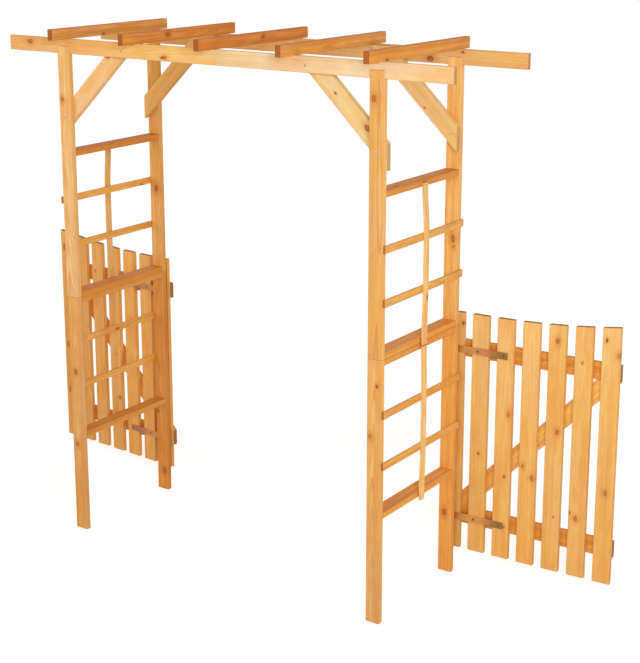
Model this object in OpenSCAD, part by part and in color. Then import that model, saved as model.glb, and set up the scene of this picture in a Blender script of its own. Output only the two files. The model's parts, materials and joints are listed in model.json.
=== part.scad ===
// Garden arch: four posts, two beams and five rafters over a passage, a ladder
// trellis on each side, and a pair of picket gates hung on the rear posts.
// Millimetres. X runs across the passage, Y from front to rear, Z up.
// The origin is on the ground, midway between the four posts.

/* [Overall] */
// Clear width of the passage between the left and the right posts
passage_w = 1402; // [1100:2:1800]
// Clear distance between the front and the rear posts, the length of the side rails
rail_len = 500; // [360:5:800]
// Height of the posts to the top of their tongues
post_h = 2028; // [1900:4:2400]

/* [Posts] */
// Width of a post's face
post_w = 58; // [50:1:90]
// Thickness of a post, and of the side rails laid flat between the posts
post_t = 24; // [20:1:40]
// Height of the butt joint between a post's lower and upper halves
splice_z = 1012; // [960:2:1100]
// Thickness of the tongue left standing in front of the beam
tongue_t = 6; // [4:0.5:9]
// How far the beam is let down into the post's head
beam_seat_d = 29; // [20:1:35]

/* [Beams and rafters] */
// Height of a beam
beam_h = 58; // [45:1:90]
// Length of beam past the outer face of the posts
beam_overhang = 266; // [100:2:400]
// Length of the half lap that joins the two pieces of a beam
beam_lap = 64; // [40:2:100]
// Thickness of a rafter
rafter_w = 24; // [18:1:40]
// Height of a rafter
rafter_h = 43; // [36:1:60]
// Length of rafter past the faces of the posts
rafter_overhang = 66; // [30:2:150]
// Depth of the notch with which a rafter sits over each beam
rafter_notch = 3; // [2:0.5:8]
// Play between the rafter's notch and each face of the beam
rafter_play = 1; // [0.3:0.1:2]

/* [Braces] */
// Width of a corner brace
brace_w = 69; // [50:1:90]
// Thickness of a corner brace
brace_t = 24; // [18:1:40]
// Slope of a corner brace above the horizontal
brace_angle = 44; // [35:1:55]
// Drop of a brace, from the underside of the rafters to its lowest point on the post
brace_drop = 372; // [280:2:430]

/* [Side trellis] */
// Height of a ladder panel, from the post's joint to the far face of its rail
panel_h = 604; // [560:2:620]
// Width of a lath
lath_w = 28; // [20:1:40]
// Thickness of a lath
lath_t = 9; // [6:0.5:12]
// How far the cross laths run onto the side of the posts at each end
lath_lap = 22.5; // [12:0.5:28]
// How far the cross laths sit off centre: rearwards on the right, forwards on the left
lath_shift = 4.5; // [0:0.5:6]
// How far the upright laths sit below their panels' ends
upright_drop = 8; // [4:1:16]
// How far the upright laths' nails hold them off the bottom and middle rails
lath_stand = 6; // [0:0.5:8]
// Gap between the ends of two upright laths near the posts' joint
upright_gap = 2; // [1:0.5:8]

/* [Gates] */
// Height of the pickets' lower ends above the ground
gate_bottom_z = 97; // [40:1:120]
// Length of the pickets on the hinge side
picket_h = 963; // [900:5:1100]
// Number of pickets in a gate
picket_count = 7; // [5:1:9]
// Width of a picket
picket_w = 69; // [50:1:80]
// Thickness of a picket
picket_t = 18; // [12:1:24]
// Distance from the hinge pin at which the top line starts to rise
sweep_start = 200; // [100:10:300]
// Rise of the top line at the gate's free end
sweep_rise = 36; // [10:1:80]
// Width of the gate's rails and of its diagonal
gate_rail_w = 67; // [50:1:90]
// Thickness of the gate's rails and of its diagonal
gate_rail_t = 20; // [14:1:26]
// Height of the lower rail's underside above the pickets' lower ends
lower_rail_up = 100; // [60:2:140]
// Distance of the upper rail's top below the pickets' tops on the hinge side
upper_rail_down = 111; // [70:1:150]
// Gap between a closed gate and its post
hinge_gap = 6; // [5:0.5:12]
// Gap between the two closed gates
meeting_gap = 8; // [6:0.5:14]
// How far the left gate stands short of being folded flat back, in degrees
left_rest_tilt = 4.3; // [1:0.1:60]
// How far the right gate stands short of being folded flat back, in degrees
right_rest_tilt = 3; // [1:0.1:60]

/* [Hinges] */
// Length of a strap from its pin
strap_len = 258; // [150:2:400]
// Width of a strap
strap_w = 28; // [20:1:40]
// Thickness of a strap and of the plate on the post
strap_t = 2.5; // [2:0.5:3]
// Radius of the hinge pin
pin_r = 2.4; // [2:0.1:3]
// Play between the pin and the strap's eye
pin_play = 0.08; // [0.05:0.01:0.1]
// Length of the plate on the post, from the pin
plate_len = 36; // [25:1:48]
// Height of the plate on the post
plate_h = 84; // [60:2:100]
// Gap above and below the strap's eye
eye_gap = 0.5; // [0.3:0.1:1]

/* [Timber] */
// Radius of the eased long edges of posts, rails, beams, rafters and braces
arris_r = 2.5; // [0.5:0.5:3]
// Radius of the eased long edges of laths, pickets and the gates' boards
fine_arris_r = 1.5; // [0.5:0.5:2]

/* [Hidden] */

pine = "#e3a35c";
pale_pine = "#f0c084";
deep_pine = "#c9793a";
zinc = "#c9b26a";

cut = 1; // how far a cutting solid runs past the face that it cuts
arris_steps = 3; // flats that round off one long edge

inner_x = passage_w / 2;
outer_x = inner_x + post_w;
front_y = -rail_len / 2 - post_t; // front face of the front posts
rear_y = rail_len / 2 + post_t; // rear face of the rear posts

beam_t = post_t - tongue_t;
beam_z = post_h - beam_seat_d;
beam_top_z = beam_z + beam_h;
front_beam_y = front_y + tongue_t;
rear_beam_y = rail_len / 2 + tongue_t;
beam_half = outer_x + beam_overhang;

rafter_z = beam_top_z - rafter_notch;
rafter_len = rear_y - front_y + 2 * rafter_overhang;
brace_foot_z = rafter_z - brace_drop;
rafter_last = 2; // rafters are numbered from -2 to 2, the outer ones over the posts
rafter_step = (inner_x + post_w / 2) / rafter_last;

top_rail_z = splice_z + panel_h - post_t;
bottom_rail_z = splice_z - panel_h;
lath_len = rail_len + 2 * lath_lap;
lath_step = (panel_h - post_t) / 3; // rails and laths share a panel's height evenly

pin_x = inner_x;
barrel_r = pin_r + pin_play + strap_t;
pin_y = rear_y + barrel_r;
gate_w = inner_x - hinge_gap - meeting_gap / 2;
picket_step = (gate_w - picket_w) / (picket_count - 1);
lower_rail_z = gate_bottom_z + lower_rail_up;
upper_rail_z = gate_bottom_z + picket_h - upper_rail_down - gate_rail_w;
hinge_z = [lower_rail_z + gate_rail_w / 2, upper_rail_z + gate_rail_w / 2];

// Outline of a board's section, a by b from the origin, with its edges eased to radius r
function eased(a, b, r) = [
  for (corner = [[a - r, b - r, 0], [r, b - r, 90], [r, r, 180], [a - r, r, 270]])
    for (i = [0 : arris_steps])
      let (turn = corner[2] + 90 * i / arris_steps)
        [corner[0] + r * cos(turn), corner[1] + r * sin(turn)]
];

// Boards from the lower corner at the origin, running up, along X or along Y
module board_z(size, r) linear_extrude(size[2]) polygon(eased(size[0], size[1], r));

module board_x(size, r)
  rotate([90, 0, 90])
    linear_extrude(size[0])
      polygon(eased(size[1], size[2], r));

module board_y(size, r)
  translate([0, size[1], 0])
    rotate([90, 0, 0])
      linear_extrude(size[1])
        polygon(eased(size[0], size[2], r));

module left_side() mirror([1, 0, 0]) children();

// --- Posts: each is two lengths of board butted end to end at splice_z ---

module post_lower(y)
  color(pine)
    translate([inner_x, y, 0])
      board_z([post_w, post_t, splice_z], arris_r);

// The head is cut back behind a thin tongue, and the beam lies in the cut
module post_upper(y)
  color(pine)
    difference() {
      translate([inner_x, y, splice_z])
        board_z([post_w, post_t, post_h - splice_z], arris_r);
      translate([inner_x - cut, y + tongue_t, beam_z])
        cube([post_w + 2 * cut, post_t, beam_seat_d + cut]);
    }

// --- Side rails, laid flat between the front and the rear post ---

module side_rail(z)
  color(deep_pine)
    translate([inner_x, -rail_len / 2, z])
      board_y([post_w, rail_len, post_t], arris_r);

// --- Side trellis laths, nailed to the outer faces ---

cross_lath_z = [
  bottom_rail_z + lath_step, bottom_rail_z + 2 * lath_step,
  splice_z + lath_step, splice_z + 2 * lath_step
];

module cross_laths(shift)
  color(pine)
    for (z = cross_lath_z)
      translate([outer_x, shift - lath_len / 2, z + (post_t - lath_w) / 2])
        board_y([lath_t, lath_len, lath_w], fine_arris_r);

// An upright lath is bent out from each rail's edge, or from near it, over the cross laths
bend_run = lath_step - (post_t + lath_w) / 2; // height in which it bends from rail to lath
bend_steps = 8;

function bend(z0, z1, x0, x1) = [
  for (i = [0 : bend_steps])
    [x0 + (x1 - x0) * (1 - cos(180 * i / bend_steps)) / 2, z0 + (z1 - z0) * i / bend_steps]
];

// One upright lath on the panel whose lower rail lies at z; it runs from low to high, and its
// foot and head stand so far off the rails
module upright_lath(z, low, high, foot, head) {
  bend_z = z + post_t;
  unbend_z = z + panel_h - post_t;
  inner_line = concat(
    [[foot, low]],
    bend(bend_z, bend_z + bend_run, foot, lath_t),
    bend(unbend_z - bend_run, unbend_z, lath_t, head),
    [[head, high]]
  );
  last = len(inner_line) - 1;
  outer_line = [for (i = [last : -1 : 0]) inner_line[i] + [lath_t, 0]];
  color(pine)
    translate([outer_x, lath_w / 2, 0])
      rotate([90, 0, 0])
        linear_extrude(lath_w)
          polygon(concat(inner_line, outer_line));
}

module upright_laths() {
  gap_z = splice_z - upright_drop;
  upright_lath(bottom_rail_z, bottom_rail_z - upright_drop, gap_z - upright_gap / 2,
    lath_stand, lath_stand);
  upright_lath(splice_z, gap_z + upright_gap / 2, splice_z + panel_h - upright_drop,
    lath_stand, 0);
}

// --- Beams: each is two pieces, halved over each other in the middle ---

module beam_piece(y, side) {
  left = side < 0;
  start_x = left ? -beam_half : -beam_lap / 2;
  color(pale_pine)
    difference() {
      translate([start_x, y, beam_z])
        board_x([beam_half + beam_lap / 2, beam_t, beam_h], arris_r);
      translate([-beam_lap / 2 - (left ? 0 : cut), y - cut, beam_z + (left ? beam_h / 2 : -cut)])
        cube([beam_lap + cut, beam_t + 2 * cut, beam_h / 2 + cut]);
    }
}

// --- Rafters, notched over both beams ---

module rafter(place)
  color(deep_pine)
    difference() {
      translate([place * rafter_step - rafter_w / 2, -rafter_len / 2, rafter_z])
        board_y([rafter_w, rafter_len, rafter_h], arris_r);
      for (y = [front_beam_y, rear_beam_y])
        translate([place * rafter_step - rafter_w / 2 - cut, y - rafter_play, rafter_z - cut])
          cube([rafter_w + 2 * cut, beam_t + 2 * rafter_play, rafter_notch + cut]);
    }

// --- Corner braces: a plumb cut at the post's outer face, a level cut under the rafters ---

module brace(y)
  color(pine)
    intersection() {
      translate([outer_x, y, brace_foot_z])
        rotate([0, brace_angle - 180, 0])
          translate([-brace_w, 0, -brace_w])
            board_x([rafter_z / sin(brace_angle), brace_t, brace_w], arris_r);
      translate([0, y - cut, 0])
        cube([outer_x, brace_t + 2 * cut, rafter_z]);
    }

// --- Gates: drawn on the right with the pin at the origin, folded flat back ---

module right_gate()
  translate([pin_x, pin_y, 0])
    rotate([0, 0, right_rest_tilt])
      children();

module left_gate()
  left_side()
    translate([pin_x, pin_y, 0])
      rotate([0, 0, left_rest_tilt])
        children();

// Everything above the line that the pickets' tops follow
module above_sweep() {
  run = hinge_gap + gate_w - sweep_start;
  sweep_r = (run * run + sweep_rise * sweep_rise) / (2 * sweep_rise);
  top_z = gate_bottom_z + picket_h;
  translate([0, picket_t + barrel_r + cut, 0])
    rotate([90, 0, 0])
      linear_extrude(picket_t + 2 * cut) {
        translate([sweep_start, top_z + sweep_r])
          circle(r = sweep_r, $fn = 360);
        translate([0, top_z])
          square([sweep_start, 2 * sweep_rise]);
      }
}

module gate_pickets()
  color(pale_pine)
    difference() {
      for (i = [0 : picket_count - 1])
        translate([hinge_gap + i * picket_step, barrel_r, gate_bottom_z])
          board_z([picket_w, picket_t, picket_h + sweep_rise], fine_arris_r);
      above_sweep();
    }

module gate_rail(z)
  color(pine)
    translate([hinge_gap, barrel_r + picket_t, z])
      board_x([gate_w, gate_rail_t, gate_rail_w], fine_arris_r);

// The diagonal runs from the lower hinge corner to the upper free corner, between the rails
diagonal_rise = upper_rail_z - lower_rail_z - gate_rail_w;
diagonal_reach = sqrt(diagonal_rise ^ 2 + gate_w ^ 2 - gate_rail_w ^ 2);
diagonal_foot = gate_rail_w * (diagonal_rise * diagonal_reach - gate_rail_w * gate_w)
  / (diagonal_rise ^ 2 - gate_rail_w ^ 2);
diagonal_angle = atan2(diagonal_rise, gate_w - diagonal_foot);

module gate_diagonal()
  color(pine)
    translate([hinge_gap, barrel_r + picket_t, lower_rail_z + gate_rail_w])
      intersection() {
        rotate([0, -diagonal_angle, 0])
          translate([-gate_rail_w, 0, -gate_rail_w])
            board_x([2 * gate_rail_w + norm([gate_w, diagonal_rise]), gate_rail_t, gate_rail_w], fine_arris_r);
        translate([-cut, -cut, 0])
          cube([gate_w + 2 * cut, gate_rail_t + 2 * cut, diagonal_rise]);
      }

// --- Strap hinges: an eye and a long strap on the gate, a plate with the pin on the post ---

module gate_straps()
  color(zinc)
    for (z = hinge_z)
      translate([0, 0, z - strap_w / 2])
        difference() {
          union() {
            cylinder(r = barrel_r, h = strap_w, $fn = 48);
            translate([0, barrel_r - strap_t, 0])
              cube([strap_len, strap_t, strap_w]);
          }
          translate([0, 0, -cut])
            cylinder(r = pin_r + pin_play, h = strap_w + 2 * cut, $fn = 48);
        }

module hinge_plates()
  color(zinc)
    for (z = hinge_z)
      translate([pin_x, pin_y, z]) {
        cylinder(r = pin_r, h = plate_h, center = true, $fn = 48);
        difference() {
          union() {
            cylinder(r = barrel_r, h = plate_h, center = true, $fn = 48);
            translate([0, -barrel_r, -plate_h / 2])
              cube([plate_len, strap_t, plate_h]);
          }
          translate([-barrel_r - cut, -barrel_r - cut, -strap_w / 2 - eye_gap])
            cube([2 * (barrel_r + cut), 2 * (barrel_r + cut), strap_w + 2 * eye_gap]);
        }
      }

left_side() post_lower(front_y);  // front_left_post_lower
left_side() post_upper(front_y);  // front_left_post_upper
post_lower(front_y);  // front_right_post_lower
post_upper(front_y);  // front_right_post_upper
left_side() post_lower(rail_len / 2);  // rear_left_post_lower
left_side() post_upper(rail_len / 2);  // rear_left_post_upper
post_lower(rail_len / 2);  // rear_right_post_lower
post_upper(rail_len / 2);  // rear_right_post_upper
left_side() side_rail(bottom_rail_z);  // left_bottom_rail
left_side() side_rail(splice_z - post_t);  // left_lower_middle_rail
left_side() side_rail(splice_z);  // left_upper_middle_rail
left_side() side_rail(top_rail_z);  // left_top_rail
side_rail(bottom_rail_z);  // right_bottom_rail
side_rail(splice_z - post_t);  // right_lower_middle_rail
side_rail(splice_z);  // right_upper_middle_rail
side_rail(top_rail_z);  // right_top_rail
left_side() cross_laths(-lath_shift);  // left_cross_laths
left_side() upright_laths();  // left_upright_laths
cross_laths(lath_shift);  // right_cross_laths
upright_laths();  // right_upright_laths
beam_piece(front_beam_y, -1);  // front_beam_left
beam_piece(front_beam_y, 1);  // front_beam_right
beam_piece(rear_beam_y, -1);  // rear_beam_left
beam_piece(rear_beam_y, 1);  // rear_beam_right
rafter(-2);  // rafter_1
rafter(-1);  // rafter_2
rafter(0);  // rafter_3
rafter(1);  // rafter_4
rafter(2);  // rafter_5
left_side() brace(-rail_len / 2);  // front_left_brace
brace(-rail_len / 2);  // front_right_brace
left_side() brace(rail_len / 2 - brace_t);  // rear_left_brace
brace(rail_len / 2 - brace_t);  // rear_right_brace
left_side() hinge_plates();  // left_hinge_plates
hinge_plates();  // right_hinge_plates
left_gate() gate_pickets();  // left_gate_pickets
left_gate() gate_rail(lower_rail_z);  // left_gate_lower_rail
left_gate() gate_rail(upper_rail_z);  // left_gate_upper_rail
left_gate() gate_diagonal();  // left_gate_diagonal
left_gate() gate_straps();  // left_gate_straps
right_gate() gate_pickets();  // right_gate_pickets
right_gate() gate_rail(lower_rail_z);  // right_gate_lower_rail
right_gate() gate_rail(upper_rail_z);  // right_gate_upper_rail
right_gate() gate_diagonal();  // right_gate_diagonal
right_gate() gate_straps();  // right_gate_straps
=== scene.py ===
"""Garden arch of stained pine with a pair of picket gates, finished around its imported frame."""

import json
import math
import random

import bmesh
import bpy
import numpy as np
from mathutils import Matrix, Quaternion, Vector


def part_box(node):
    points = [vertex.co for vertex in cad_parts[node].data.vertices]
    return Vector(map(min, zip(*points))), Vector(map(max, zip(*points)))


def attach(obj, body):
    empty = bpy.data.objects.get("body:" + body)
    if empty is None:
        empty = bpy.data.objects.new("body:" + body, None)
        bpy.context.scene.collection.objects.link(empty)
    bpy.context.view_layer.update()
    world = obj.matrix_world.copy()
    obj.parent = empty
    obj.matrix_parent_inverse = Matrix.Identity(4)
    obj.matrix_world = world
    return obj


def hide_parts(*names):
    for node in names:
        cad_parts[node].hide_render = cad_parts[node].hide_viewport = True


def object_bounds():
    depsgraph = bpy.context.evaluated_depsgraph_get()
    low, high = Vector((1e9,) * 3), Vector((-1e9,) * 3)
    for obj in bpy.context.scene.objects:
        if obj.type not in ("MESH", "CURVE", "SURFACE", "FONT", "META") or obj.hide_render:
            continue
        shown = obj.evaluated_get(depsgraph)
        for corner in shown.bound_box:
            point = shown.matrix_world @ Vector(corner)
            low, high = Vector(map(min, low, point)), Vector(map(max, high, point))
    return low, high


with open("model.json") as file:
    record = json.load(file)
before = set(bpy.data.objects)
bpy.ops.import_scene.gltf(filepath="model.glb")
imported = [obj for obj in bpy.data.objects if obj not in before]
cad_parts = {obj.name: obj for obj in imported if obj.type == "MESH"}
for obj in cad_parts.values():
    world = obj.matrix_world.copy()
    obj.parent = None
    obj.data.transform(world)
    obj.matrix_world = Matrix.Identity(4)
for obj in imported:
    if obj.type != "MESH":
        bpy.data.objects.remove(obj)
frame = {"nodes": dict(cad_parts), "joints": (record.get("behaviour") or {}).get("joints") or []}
cad_low, cad_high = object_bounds()

# --- Camera ---
# It stands to the right of the passage, half a metre higher than the arch, and looks down on
# it. The lens is shifted down a little, so that the posts lean less.

turned_left, tipped_down = math.radians(34.9), math.radians(13.508)


def in_scene(name, data):
    """A new object of the scene."""
    made = bpy.data.objects.new(name, data)
    bpy.context.scene.collection.objects.link(made)
    return made


camera = in_scene("camera", bpy.data.cameras.new("camera"))
camera.location = (3.388, -4.417, 2.583)
camera.rotation_euler = (math.pi / 2 - tipped_down, 0, turned_left)
camera.data.lens = 79.55
camera.data.shift_y = -0.12
bpy.context.scene.camera = camera

# --- Posts ---
# Four posts of planed pine board, each in two lengths butted end to end at half height.
# The upper length is cut back at its head behind a thin tongue, which stands before the beam.
# All timber is stained honey brown, and its tint changes from board to board. The tints are
# partly painted shade: lower lengths and rear boards are darker.

arris = 0.0025  # radius of the eased long edges of posts, rails, beams, rafters and braces
saw_ease = 0.0010  # how much sanding takes off the edges of a sawn end
arris_flats = 5
weld = 1e-6  # points closer than this are one
sawn_slant = 0.6  # a face that looks this much along its board is end grain
pith_off = 0.02, 0.055  # least and most distance of the log's pith from a board's middle
spare_knot = 0.002, 0.0045  # least and most radius of the small knot that some boards have
shade_spread = 0.04  # how much a board's tint strays by itself
no_knot = (99.0, 0.0, 0.001, 0.0)  # far off any board


def eased(low, high, radius):
    """The corners (across, through) of a board's section, in order round it."""
    low, high = np.array(low) + radius, np.array(high) - radius
    middles = (high[0], high[1]), (low[0], high[1]), (low[0], low[1]), (high[0], low[1])
    return np.array([
        (a + radius * math.cos(turn), t + radius * math.sin(turn))
        for corner, (a, t) in enumerate(middles)
        for turn in np.linspace(corner, corner + 1, arris_flats + 1) * math.pi / 2
    ])


class Board:
    """One board in its own axes (along, across, through), and how it was sawn from the log.

    cuts are (from, to, lowest, highest): stretches where its section is cut back to a smaller
    one. start and stop give a slanted end's place along, from across and through. bend gives
    how far it is bent over, from the place along, and stations are the places where it bends.
    tint is one shade, or two, from its low end to its high end. The right-face factor is painted
    side shading: light or shade painted on its right face, which it makes paler or darker than
    the rest. knots are (along, across, radius, how dark), from the board's middle. pith is the
    log's heart, (across, through).
    """

    def __init__(self, name, axes, low, high, radius=arris, cuts=(), start=None, stop=None,
                 bend=None, stations=(), origin=(0, 0, 0), tint=(1, 1, 1), painted_side_shading=(1, 1, 1),
                 knots=(), pith=None):
        self.axes, self.origin, self.bend = np.array(axes, float), np.array(origin), bend
        self.low, self.high, self.radius = np.array(low, float), np.array(high, float), radius
        first = self.low[0] if start is None else start
        last = self.high[0] if stop is None else stop
        near = far = ()
        middle = [self.ring(z) for z in stations]
        for begin, end, least, most in cuts:
            if begin > self.low[0]:
                middle += [self.ring(begin), self.ring(begin, cut=(least, most))]
            else:
                near = (least, most)
            if end < self.high[0]:
                middle += [self.ring(end, cut=(least, most)), self.ring(end)]
            else:
                far = (least, most)
        self.rings = [
            self.ring(first, saw_ease, near), self.ring(first, 0, near, saw_ease), *middle,
            self.ring(last, 0, far, -saw_ease), self.ring(last, saw_ease, far),
        ]
        points = np.concatenate(self.rings)
        self.middle, self.half = (points.min(0) + points.max(0)) / 2, np.ptp(points, axis=0) / 2
        chance = random.Random(name)
        heart = (chance.uniform(-0.6, 0.6) * self.half[1],
                 chance.choice((-1, 1)) * chance.uniform(*pith_off))
        spare = [(chance.uniform(-0.9, 0.9) * self.half[0],
                  chance.uniform(-0.8, 0.8) * self.half[1],
                  chance.uniform(*spare_knot), 0.8) for _ in range(chance.choice((0, 0, 1)))]
        spots = [*knots, *spare, no_knot, no_knot, no_knot][:3]
        shade = 1 + chance.uniform(-shade_spread, shade_spread)
        self.tints = np.array(tint if np.ndim(tint) == 2 else (tint, tint)) * shade
        self.painted_side_shading = np.array(painted_side_shading)
        self.facts = {
            "half": self.half, "log": (*(pith or heart), chance.uniform(0, 9)),
            "knot_1": spots[0][:3], "knot_2": spots[1][:3], "knot_3": spots[2][:3],
            "darkness": [spot[3] for spot in spots],
        }

    def ring(self, place, inset=0.0, cut=(), shift=0.0):
        """The corners of its section at a place along it."""
        section = eased(self.low[1:] + inset, self.high[1:] - inset, self.radius - inset)
        if cut:
            section = np.clip(section, *cut)
        along = place(*section.T) if callable(place) else np.full(len(section), float(place))
        return np.column_stack([along + shift, section])


def mesh_of(name, shape):
    """The mesh of a closed shape, with its faces turned outward."""
    bmesh.ops.recalc_face_normals(shape, faces=shape.faces)
    mesh = bpy.data.meshes.new(name)
    shape.to_mesh(mesh)
    shape.free()
    return mesh


def fitted(name, shape, finishes, crease, body, nodes):
    """A piece from its closed shape, with its edges sharp from crease degrees up.

    It stands for CAD nodes, if there are any, and rides on a body.
    """
    mesh = mesh_of(name, shape)
    mesh.set_sharp_from_angle(angle=math.radians(crease))
    for finish in finishes:
        mesh.materials.append(finish)
    piece = in_scene(name, mesh)
    piece.modifiers.new("true_flats", "WEIGHTED_NORMAL").keep_sharp = True
    if nodes:
        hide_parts(*nodes)
    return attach(piece, body)


def skinned(shape, rows):
    """Closes a shape round its rings of corners. Gives its two end faces, then its sides."""
    sides = [(low[i - 1], low[i], high[i], high[i - 1])
             for low, high in zip(rows, rows[1:]) for i in range(len(low))]
    return [shape.faces.new(corners) for corners in (rows[0], rows[-1], *sides)]


def timber(name, boards, finish, body, slot, *nodes):
    """One piece made of boards, which carry what their finish needs to know."""
    shape = bmesh.new()
    grain = shape.verts.layers.float_vector.new("grain")
    tint = shape.verts.layers.float_vector.new("tint")
    facts = {key: shape.verts.layers.float_vector.new(key) for key in boards[0].facts}
    sawn = shape.faces.layers.float.new("sawn")
    for board in boards:
        rows = []
        for ring in board.rings:
            bent = [board.bend(along) if board.bend else 0.0 for along in ring[:, 0]]
            placed = (ring + np.outer(bent, (0, 0, 1))) @ board.axes + board.origin
            rows.append([shape.verts.new(p) for p in placed])
            for corner, own in zip(rows[-1], ring - board.middle):
                corner[grain] = Vector(own)
                height = own[0] / board.half[0] / 2 + 0.5
                shade = board.tints[0] * (1 - height) + board.tints[1] * height
                # the right face takes painted side shading, a paler or darker tint than the rest
                # of the board
                on_painted_side = own[1] > board.half[1] - weld
                corner[tint] = Vector(shade * board.painted_side_shading if on_painted_side else shade)
                for key, layer in facts.items():
                    corner[layer] = Vector(board.facts[key])
        for face in skinned(shape, rows):
            face.normal_update()
            face.smooth = True
            face[sawn] = abs(face.normal.dot(Vector(board.axes[0]))) > sawn_slant
    bmesh.ops.remove_doubles(shape, verts=shape.verts, dist=weld)
    bmesh.ops.dissolve_degenerate(shape, edges=shape.edges, dist=weld)
    return fitted(name, shape, [finish], 40, body, nodes)


class Wire:
    """An output socket in a finish's nodes. Arithmetic on it adds Math nodes."""

    def __init__(self, tree, socket=None):
        self.tree, self.socket = tree, socket

    def node(self, kind, settings=None, sockets=None, output=0):
        """Adds a node, with its settings set first, then its sockets, by name or number."""
        made = self.tree.nodes.new("ShaderNode" + kind)
        for key, value in (settings or {}).items():
            setattr(made, key, value)
        for key, value in (sockets or {}).items():
            if isinstance(value, Wire):
                self.tree.links.new(value.socket, made.inputs[key])
            else:
                made.inputs[key].default_value = value
        return Wire(self.tree, made.outputs[output])

    def feeds(self, node, name):
        self.tree.links.new(self.socket, node.inputs[name])

    def maths(self, operation, *others):
        return self.node("Math", {"operation": operation}, dict(enumerate((self, *others))))

    def __add__(self, other):
        return self.maths("ADD", other)

    __radd__ = __add__

    def __sub__(self, other):
        return self.maths("SUBTRACT", other)

    def __rsub__(self, other):
        return self.node("Math", {"operation": "SUBTRACT"}, {0: other, 1: self})

    def __mul__(self, other):
        return self.maths("MULTIPLY", other)

    __rmul__ = __mul__

    def __truediv__(self, other):
        return self.maths("DIVIDE", other)

    def __abs__(self):
        return self.maths("ABSOLUTE")

    def rise(self, low, high):
        """0 below low and 1 above high, smooth between. It falls where low is above high."""
        return self.node("MapRange", {"interpolation_type": "SMOOTHSTEP"},
                         {"Value": self, "From Min": low, "From Max": high})

    def parts(self):
        """The three values of a vector or a colour."""
        split = self.node("SeparateXYZ", {}, {0: self})
        return [Wire(self.tree, output) for output in split.socket.node.outputs]

    def vector(self, operation, other):
        return self.node("VectorMath", {"operation": operation}, {0: self, 1: other})

    def mixed(self, share, other, blend="MIX"):
        """This colour mixed with another by a share. A Mix node's colours are 6, 7 and out 2."""
        other = other if isinstance(other, Wire) else (*other, 1)
        return self.node("Mix", {"data_type": "RGBA", "blend_type": blend},
                         {0: share, 6: self, 7: other}, 2)

    def between(self, first, second):
        """The colour that runs from first to second as this value runs from 0 to 1."""
        return self.node("Mix", {"data_type": "RGBA"},
                         {0: self, 6: (*first, 1), 7: (*second, 1)}, 2)


def attribute(tree, name, output="Vector"):
    """What timber() wrote on a piece, as a wire in its finish."""
    return Wire(tree).node("Attribute", {"attribute_name": name}, output=output)


def new_finish(name):
    """A finish with its nodes, and the node that is its surface."""
    finish = bpy.data.materials.new(name)
    finish.use_nodes = True
    return finish, finish.node_tree, finish.node_tree.nodes["Principled BSDF"]


def knotted(tree, along, across, noise):
    """How the grain passes a board's knots: it parts round each and closes again behind it.

    Gives the bent place across, how far the nearest knot is in radii, and how dark it is.
    """
    knot_oval = 0.68  # a knot's width to its length
    parted = 1.6  # how far out the grain is pushed aside, in radii
    bent, nearest, dark = across, None, 0.0
    darkness = attribute(tree, "darkness").parts()
    rough_edge = (noise((90, 260, 260), 3.0) - 0.5) * 1.3
    for number in (1, 2, 3):
        knot_along, knot_across, radius = attribute(tree, f"knot_{number}").parts()
        ahead, beside = (along - knot_along) * knot_oval, across - knot_across
        span = ahead * ahead + beside * beside
        wide = radius * parted
        bent = bent - beside * (wide * wide / span.maths("MAXIMUM", wide * wide)) * 0.9
        share = span.maths("SQRT") / radius + rough_edge
        nearest = share if nearest is None else nearest.maths("MINIMUM", share)
        dark = dark + share.rise(3.2, 1.6) * darkness[number - 1]
    return bent, nearest, dark.maths("MINIMUM", 1.0)


def late_rings(tree, along, across, through, noise):
    """How much a place is late wood, in year rings round a pith that wanders along the log."""
    year_width = 0.0036
    sway = 0.04  # how far the pith wanders
    taper = 0.011  # how fast the rings drift along the log
    pith_across, pith_through, seed = attribute(tree, "log").parts()
    wander = noise((1.1, 4, 4), 1.0, "Color").parts()
    ripple = noise((5, 34, 34), 2.0) - 0.5
    aside = across - pith_across + (wander[0] - 0.5) * sway
    deep = through - pith_through + (wander[1] - 0.5) * sway
    years = aside * aside + deep * deep
    years = (years.maths("SQRT") + along * taper + ripple * 0.0045) / year_width
    year = years.maths("FLOOR")
    within = years - year
    strength = year.node("TexWhiteNoise", {"noise_dimensions": "1D"}, {"W": year + seed},
                         "Value")
    return within.rise(0.3, 0.86) * within.rise(1.0, 0.93) * (0.45 + 0.55 * strength)


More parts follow.
